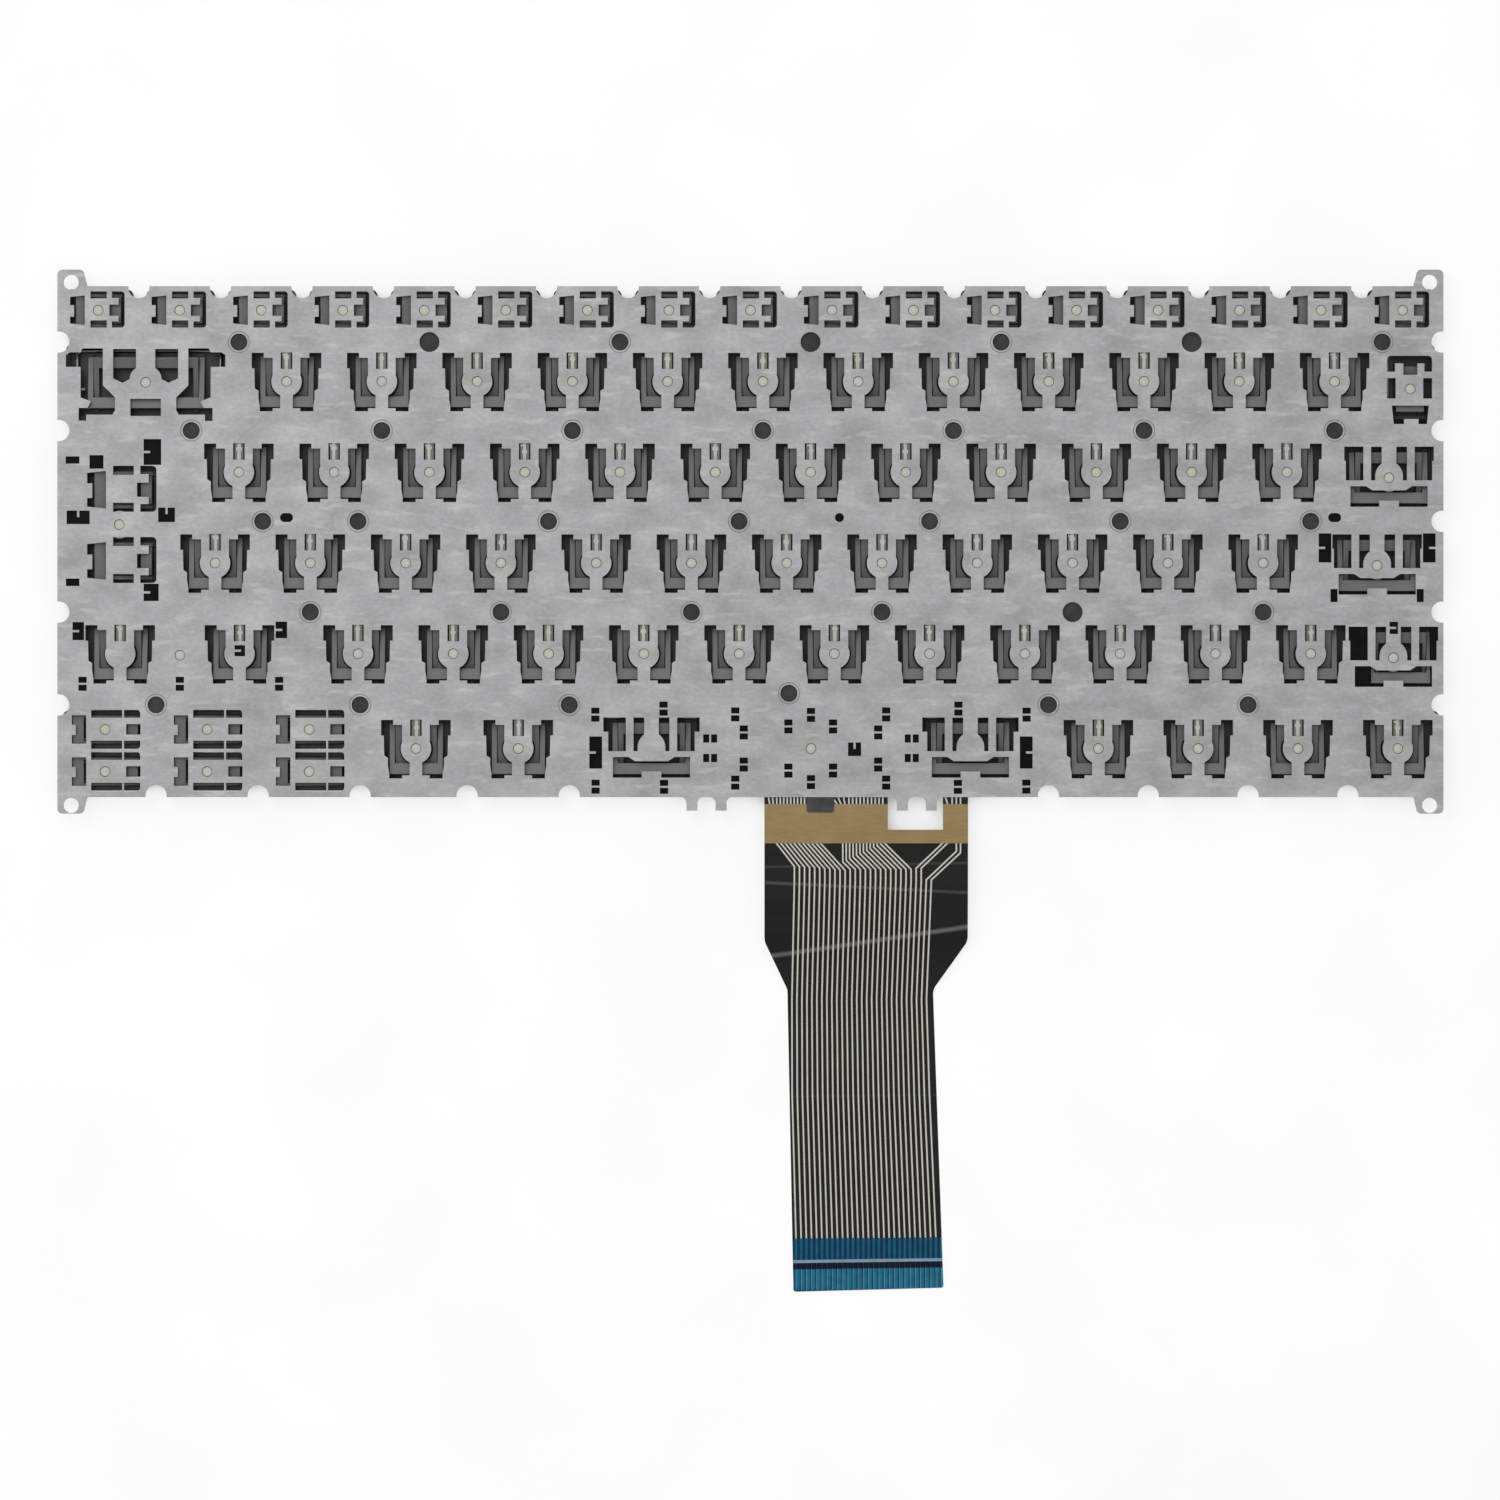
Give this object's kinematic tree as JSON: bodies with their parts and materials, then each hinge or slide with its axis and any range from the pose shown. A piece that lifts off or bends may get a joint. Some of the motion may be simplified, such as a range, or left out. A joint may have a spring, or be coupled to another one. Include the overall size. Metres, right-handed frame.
{
  "type": "laptop keyboard",
  "caption": "Flat replacement keyboard for a laptop: pressed steel back plate with lever windows, membrane, scissor levers, black keycaps and a ribbon cable with a stiffened end.",
  "frame": {"origin": "centre of the four corner screw holes, on the back face of the plate", "axes": "+X to the right in the back view, +Y away from the ribbon cable, +Z out of the back"},
  "size_m": [0.2764, 0.2041, 0.0043],
  "materials": {
    "plate_steel": "dull pressed steel",
    "membrane_film": "black printed film",
    "cable_film": "black film with silver traces",
    "tape": "tan adhesive tape",
    "stiffener": "blue polyester",
    "dome_rubber": "moulded silicone",
    "lever_plastic": "moulded grey",
    "keycap_plastic": "moulded black",
    "wire_steel": "drawn wire"
  },
  "bodies": {
    "back": {"base_plate": "plate_steel", "membrane_lower_film": "membrane_film", "membrane_upper_film": "membrane_film", "ribbon_cable": "cable_film", "cable_tape": "tape", "cable_stiffener": "stiffener", "rubber_domes": "dome_rubber", "scissor_outer_frames": "lever_plastic", "scissor_inner_frames": "lever_plastic", "function_row_keycaps": "keycap_plastic", "number_row_keycaps": "keycap_plastic", "bottom_row_keycaps": "keycap_plastic", "arrow_block_keycaps": "keycap_plastic"},
    "q_key": {"q_keycap": "keycap_plastic"},
    "w_key": {"w_keycap": "keycap_plastic"},
    "e_key": {"e_keycap": "keycap_plastic"},
    "r_key": {"r_keycap": "keycap_plastic"},
    "t_key": {"t_keycap": "keycap_plastic"},
    "y_key": {"y_keycap": "keycap_plastic"},
    "u_key": {"u_keycap": "keycap_plastic"},
    "i_key": {"i_keycap": "keycap_plastic"},
    "o_key": {"o_keycap": "keycap_plastic"},
    "p_key": {"p_keycap": "keycap_plastic"},
    "left_bracket_key": {"left_bracket_keycap": "keycap_plastic"},
    "right_bracket_key": {"right_bracket_keycap": "keycap_plastic"},
    "a_key": {"a_keycap": "keycap_plastic"},
    "s_key": {"s_keycap": "keycap_plastic"},
    "d_key": {"d_keycap": "keycap_plastic"},
    "f_key": {"f_keycap": "keycap_plastic"},
    "g_key": {"g_keycap": "keycap_plastic"},
    "h_key": {"h_keycap": "keycap_plastic"},
    "j_key": {"j_keycap": "keycap_plastic"},
    "k_key": {"k_keycap": "keycap_plastic"},
    "l_key": {"l_keycap": "keycap_plastic"},
    "semicolon_key": {"semicolon_keycap": "keycap_plastic"},
    "apostrophe_key": {"apostrophe_keycap": "keycap_plastic"},
    "hash_key": {"hash_keycap": "keycap_plastic"},
    "backslash_key": {"backslash_keycap": "keycap_plastic"},
    "z_key": {"z_keycap": "keycap_plastic"},
    "x_key": {"x_keycap": "keycap_plastic"},
    "c_key": {"c_keycap": "keycap_plastic"},
    "v_key": {"v_keycap": "keycap_plastic"},
    "b_key": {"b_keycap": "keycap_plastic"},
    "n_key": {"n_keycap": "keycap_plastic"},
    "m_key": {"m_keycap": "keycap_plastic"},
    "comma_key": {"comma_keycap": "keycap_plastic"},
    "period_key": {"period_keycap": "keycap_plastic"},
    "slash_key": {"slash_keycap": "keycap_plastic"},
    "tab_key": {"tab_keycap": "keycap_plastic"},
    "caps_lock_key": {"caps_lock_keycap": "keycap_plastic"},
    "left_shift_key": {"left_shift_keycap": "keycap_plastic"},
    "backspace_key": {"backspace_keycap": "keycap_plastic"},
    "enter_key": {"enter_keycap": "keycap_plastic"},
    "right_shift_key": {"right_shift_keycap": "keycap_plastic"},
    "space_key": {"space_keycap": "keycap_plastic"},
    "backspace_wire": {"backspace_stabiliser_wire": "wire_steel"},
    "caps_lock_wire": {"caps_lock_stabiliser_wire": "wire_steel"},
    "right_shift_wire": {"right_shift_stabiliser_wire": "wire_steel"},
    "space_wire": {"space_stabiliser_wire": "wire_steel"},
    "enter_wire": {"enter_stabiliser_wire": "wire_steel"}
  },
  "joints": [
    {"name": "q_press", "type": "slide", "parent": "back", "child": "q_key", "axis": [0, 0, 1], "range_m": [0, 0.0014], "stiffness_N_per_m": 300, "springref_m": -0.0005, "deforming": ["rubber_domes", "scissor_outer_frames", "scissor_inner_frames"]},
    {"name": "w_press", "type": "slide", "parent": "back", "child": "w_key", "axis": [0, 0, 1], "range_m": [0, 0.0014], "stiffness_N_per_m": 300, "springref_m": -0.0005, "deforming": ["rubber_domes", "scissor_outer_frames", "scissor_inner_frames"]},
    {"name": "e_press", "type": "slide", "parent": "back", "child": "e_key", "axis": [0, 0, 1], "range_m": [0, 0.0014], "stiffness_N_per_m": 300, "springref_m": -0.0005, "deforming": ["rubber_domes", "scissor_outer_frames", "scissor_inner_frames"]},
    {"name": "r_press", "type": "slide", "parent": "back", "child": "r_key", "axis": [0, 0, 1], "range_m": [0, 0.0014], "stiffness_N_per_m": 300, "springref_m": -0.0005, "deforming": ["rubber_domes", "scissor_outer_frames", "scissor_inner_frames"]},
    {"name": "t_press", "type": "slide", "parent": "back", "child": "t_key", "axis": [0, 0, 1], "range_m": [0, 0.0014], "stiffness_N_per_m": 300, "springref_m": -0.0005, "deforming": ["rubber_domes", "scissor_outer_frames", "scissor_inner_frames"]},
    {"name": "y_press", "type": "slide", "parent": "back", "child": "y_key", "axis": [0, 0, 1], "range_m": [0, 0.0014], "stiffness_N_per_m": 300, "springref_m": -0.0005, "deforming": ["rubber_domes", "scissor_outer_frames", "scissor_inner_frames"]},
    {"name": "u_press", "type": "slide", "parent": "back", "child": "u_key", "axis": [0, 0, 1], "range_m": [0, 0.0014], "stiffness_N_per_m": 300, "springref_m": -0.0005, "deforming": ["rubber_domes", "scissor_outer_frames", "scissor_inner_frames"]},
    {"name": "i_press", "type": "slide", "parent": "back", "child": "i_key", "axis": [0, 0, 1], "range_m": [0, 0.0014], "stiffness_N_per_m": 300, "springref_m": -0.0005, "deforming": ["rubber_domes", "scissor_outer_frames", "scissor_inner_frames"]},
    {"name": "o_press", "type": "slide", "parent": "back", "child": "o_key", "axis": [0, 0, 1], "range_m": [0, 0.0014], "stiffness_N_per_m": 300, "springref_m": -0.0005, "deforming": ["rubber_domes", "scissor_outer_frames", "scissor_inner_frames"]},
    {"name": "p_press", "type": "slide", "parent": "back", "child": "p_key", "axis": [0, 0, 1], "range_m": [0, 0.0014], "stiffness_N_per_m": 300, "springref_m": -0.0005, "deforming": ["rubber_domes", "scissor_outer_frames", "scissor_inner_frames"]},
    {"name": "left_bracket_press", "type": "slide", "parent": "back", "child": "left_bracket_key", "axis": [0, 0, 1], "range_m": [0, 0.0014], "stiffness_N_per_m": 300, "springref_m": -0.0005, "deforming": ["rubber_domes", "scissor_outer_frames", "scissor_inner_frames"]},
    {"name": "right_bracket_press", "type": "slide", "parent": "back", "child": "right_bracket_key", "axis": [0, 0, 1], "range_m": [0, 0.0014], "stiffness_N_per_m": 300, "springref_m": -0.0005, "deforming": ["rubber_domes", "scissor_outer_frames", "scissor_inner_frames"]},
    {"name": "a_press", "type": "slide", "parent": "back", "child": "a_key", "axis": [0, 0, 1], "range_m": [0, 0.0014], "stiffness_N_per_m": 300, "springref_m": -0.0005, "deforming": ["rubber_domes", "scissor_outer_frames", "scissor_inner_frames"]},
    {"name": "s_press", "type": "slide", "parent": "back", "child": "s_key", "axis": [0, 0, 1], "range_m": [0, 0.0014], "stiffness_N_per_m": 300, "springref_m": -0.0005, "deforming": ["rubber_domes", "scissor_outer_frames", "scissor_inner_frames"]},
    {"name": "d_press", "type": "slide", "parent": "back", "child": "d_key", "axis": [0, 0, 1], "range_m": [0, 0.0014], "stiffness_N_per_m": 300, "springref_m": -0.0005, "deforming": ["rubber_domes", "scissor_outer_frames", "scissor_inner_frames"]},
    {"name": "f_press", "type": "slide", "parent": "back", "child": "f_key", "axis": [0, 0, 1], "range_m": [0, 0.0014], "stiffness_N_per_m": 300, "springref_m": -0.0005, "deforming": ["rubber_domes", "scissor_outer_frames", "scissor_inner_frames"]},
    {"name": "g_press", "type": "slide", "parent": "back", "child": "g_key", "axis": [0, 0, 1], "range_m": [0, 0.0014], "stiffness_N_per_m": 300, "springref_m": -0.0005, "deforming": ["rubber_domes", "scissor_outer_frames", "scissor_inner_frames"]},
    {"name": "h_press", "type": "slide", "parent": "back", "child": "h_key", "axis": [0, 0, 1], "range_m": [0, 0.0014], "stiffness_N_per_m": 300, "springref_m": -0.0005, "deforming": ["rubber_domes", "scissor_outer_frames", "scissor_inner_frames"]},
    {"name": "j_press", "type": "slide", "parent": "back", "child": "j_key", "axis": [0, 0, 1], "range_m": [0, 0.0014], "stiffness_N_per_m": 300, "springref_m": -0.0005, "deforming": ["rubber_domes", "scissor_outer_frames", "scissor_inner_frames"]},
    {"name": "k_press", "type": "slide", "parent": "back", "child": "k_key", "axis": [0, 0, 1], "range_m": [0, 0.0014], "stiffness_N_per_m": 300, "springref_m": -0.0005, "deforming": ["rubber_domes", "scissor_outer_frames", "scissor_inner_frames"]},
    {"name": "l_press", "type": "slide", "parent": "back", "child": "l_key", "axis": [0, 0, 1], "range_m": [0, 0.0014], "stiffness_N_per_m": 300, "springref_m": -0.0005, "deforming": ["rubber_domes", "scissor_outer_frames", "scissor_inner_frames"]},
    {"name": "semicolon_press", "type": "slide", "parent": "back", "child": "semicolon_key", "axis": [0, 0, 1], "range_m": [0, 0.0014], "stiffness_N_per_m": 300, "springref_m": -0.0005, "deforming": ["rubber_domes", "scissor_outer_frames", "scissor_inner_frames"]},
    {"name": "apostrophe_press", "type": "slide", "parent": "back", "child": "apostrophe_key", "axis": [0, 0, 1], "range_m": [0, 0.0014], "stiffness_N_per_m": 300, "springref_m": -0.0005, "deforming": ["rubber_domes", "scissor_outer_frames", "scissor_inner_frames"]},
    {"name": "hash_press", "type": "slide", "parent": "back", "child": "hash_key", "axis": [0, 0, 1], "range_m": [0, 0.0014], "stiffness_N_per_m": 300, "springref_m": -0.0005, "deforming": ["rubber_domes", "scissor_outer_frames", "scissor_inner_frames"]},
    {"name": "backslash_press", "type": "slide", "parent": "back", "child": "backslash_key", "axis": [0, 0, 1], "range_m": [0, 0.0014], "stiffness_N_per_m": 300, "springref_m": -0.0005, "deforming": ["rubber_domes", "scissor_outer_frames", "scissor_inner_frames"]},
    {"name": "z_press", "type": "slide", "parent": "back", "child": "z_key", "axis": [0, 0, 1], "range_m": [0, 0.0014], "stiffness_N_per_m": 300, "springref_m": -0.0005, "deforming": ["rubber_domes", "scissor_outer_frames", "scissor_inner_frames"]},
    {"name": "x_press", "type": "slide", "parent": "back", "child": "x_key", "axis": [0, 0, 1], "range_m": [0, 0.0014], "stiffness_N_per_m": 300, "springref_m": -0.0005, "deforming": ["rubber_domes", "scissor_outer_frames", "scissor_inner_frames"]},
    {"name": "c_press", "type": "slide", "parent": "back", "child": "c_key", "axis": [0, 0, 1], "range_m": [0, 0.0014], "stiffness_N_per_m": 300, "springref_m": -0.0005, "deforming": ["rubber_domes", "scissor_outer_frames", "scissor_inner_frames"]},
    {"name": "v_press", "type": "slide", "parent": "back", "child": "v_key", "axis": [0, 0, 1], "range_m": [0, 0.0014], "stiffness_N_per_m": 300, "springref_m": -0.0005, "deforming": ["rubber_domes", "scissor_outer_frames", "scissor_inner_frames"]},
    {"name": "b_press", "type": "slide", "parent": "back", "child": "b_key", "axis": [0, 0, 1], "range_m": [0, 0.0014], "stiffness_N_per_m": 300, "springref_m": -0.0005, "deforming": ["rubber_domes", "scissor_outer_frames", "scissor_inner_frames"]},
    {"name": "n_press", "type": "slide", "parent": "back", "child": "n_key", "axis": [0, 0, 1], "range_m": [0, 0.0014], "stiffness_N_per_m": 300, "springref_m": -0.0005, "deforming": ["rubber_domes", "scissor_outer_frames", "scissor_inner_frames"]},
    {"name": "m_press", "type": "slide", "parent": "back", "child": "m_key", "axis": [0, 0, 1], "range_m": [0, 0.0014], "stiffness_N_per_m": 300, "springref_m": -0.0005, "deforming": ["rubber_domes", "scissor_outer_frames", "scissor_inner_frames"]},
    {"name": "comma_press", "type": "slide", "parent": "back", "child": "comma_key", "axis": [0, 0, 1], "range_m": [0, 0.0014], "stiffness_N_per_m": 300, "springref_m": -0.0005, "deforming": ["rubber_domes", "scissor_outer_frames", "scissor_inner_frames"]},
    {"name": "period_press", "type": "slide", "parent": "back", "child": "period_key", "axis": [0, 0, 1], "range_m": [0, 0.0014], "stiffness_N_per_m": 300, "springref_m": -0.0005, "deforming": ["rubber_domes", "scissor_outer_frames", "scissor_inner_frames"]},
    {"name": "slash_press", "type": "slide", "parent": "back", "child": "slash_key", "axis": [0, 0, 1], "range_m": [0, 0.0014], "stiffness_N_per_m": 300, "springref_m": -0.0005, "deforming": ["rubber_domes", "scissor_outer_frames", "scissor_inner_frames"]},
    {"name": "tab_press", "type": "slide", "parent": "back", "child": "tab_key", "axis": [0, 0, 1], "range_m": [0, 0.0014], "stiffness_N_per_m": 300, "springref_m": -0.0005, "deforming": ["rubber_domes", "scissor_outer_frames", "scissor_inner_frames"]},
    {"name": "caps_lock_press", "type": "slide", "parent": "back", "child": "caps_lock_key", "axis": [0, 0, 1], "range_m": [0, 0.0014], "stiffness_N_per_m": 300, "springref_m": -0.0005, "deforming": ["rubber_domes", "scissor_outer_frames", "scissor_inner_frames"]},
    {"name": "left_shift_press", "type": "slide", "parent": "back", "child": "left_shift_key", "axis": [0, 0, 1], "range_m": [0, 0.0014], "stiffness_N_per_m": 300, "springref_m": -0.0005, "deforming": ["rubber_domes", "scissor_outer_frames", "scissor_inner_frames"]},
    {"name": "backspace_press", "type": "slide", "parent": "back", "child": "backspace_key", "axis": [0, 0, 1], "range_m": [0, 0.0014], "stiffness_N_per_m": 300, "springref_m": -0.0005, "deforming": ["rubber_domes", "scissor_outer_frames", "scissor_inner_frames"]},
    {"name": "enter_press", "type": "slide", "parent": "back", "child": "enter_key", "axis": [0, 0, 1], "range_m": [0, 0.0014], "stiffness_N_per_m": 300, "springref_m": -0.0005, "deforming": ["rubber_domes", "scissor_outer_frames", "scissor_inner_frames"]},
    {"name": "right_shift_press", "type": "slide", "parent": "back", "child": "right_shift_key", "axis": [0, 0, 1], "range_m": [0, 0.0014], "stiffness_N_per_m": 300, "springref_m": -0.0005, "deforming": ["rubber_domes", "scissor_outer_frames", "scissor_inner_frames"]},
    {"name": "space_press", "type": "slide", "parent": "back", "child": "space_key", "axis": [0, 0, 1], "range_m": [0, 0.0014], "stiffness_N_per_m": 300, "springref_m": -0.0005, "deforming": ["rubber_domes", "scissor_outer_frames", "scissor_inner_frames"]},
    {"name": "backspace_wire_turn", "type": "hinge", "parent": "backspace_key", "child": "backspace_wire", "pos_m": [-0.1201, 0.03865, -0.00295], "axis": [1, 0, 0], "range_deg": [0, 10.73]},
    {"name": "caps_lock_wire_turn", "type": "hinge", "parent": "caps_lock_key", "child": "caps_lock_wire", "pos_m": [0.12497, 0.00245, -0.00295], "axis": [1, 0, 0], "range_deg": [0, 10.73]},
    {"name": "right_shift_wire_turn", "type": "hinge", "parent": "right_shift_key", "child": "right_shift_wire", "pos_m": [-0.11297, -0.01565, -0.00295], "axis": [1, 0, 0], "range_deg": [0, 10.73]},
    {"name": "space_wire_turn", "type": "hinge", "parent": "space_key", "child": "space_wire", "pos_m": [0.01167, -0.03455, -0.00295], "axis": [1, 0, 0], "range_deg": [0, 10.73]},
    {"name": "enter_wire_turn", "type": "hinge", "parent": "enter_key", "child": "enter_wire", "pos_m": [-0.1354, 0.00525, -0.00295], "axis": [0, 1, 0], "range_deg": [0, 10.73]}
  ],
  "couplings": [
    {"joint": "backspace_wire_turn", "follows": "backspace_press", "rad_per_m": 126.26},
    {"joint": "caps_lock_wire_turn", "follows": "caps_lock_press", "rad_per_m": 126.26},
    {"joint": "right_shift_wire_turn", "follows": "right_shift_press", "rad_per_m": 126.26},
    {"joint": "space_wire_turn", "follows": "space_press", "rad_per_m": 126.26},
    {"joint": "enter_wire_turn", "follows": "enter_press", "rad_per_m": 126.26}
  ]
}
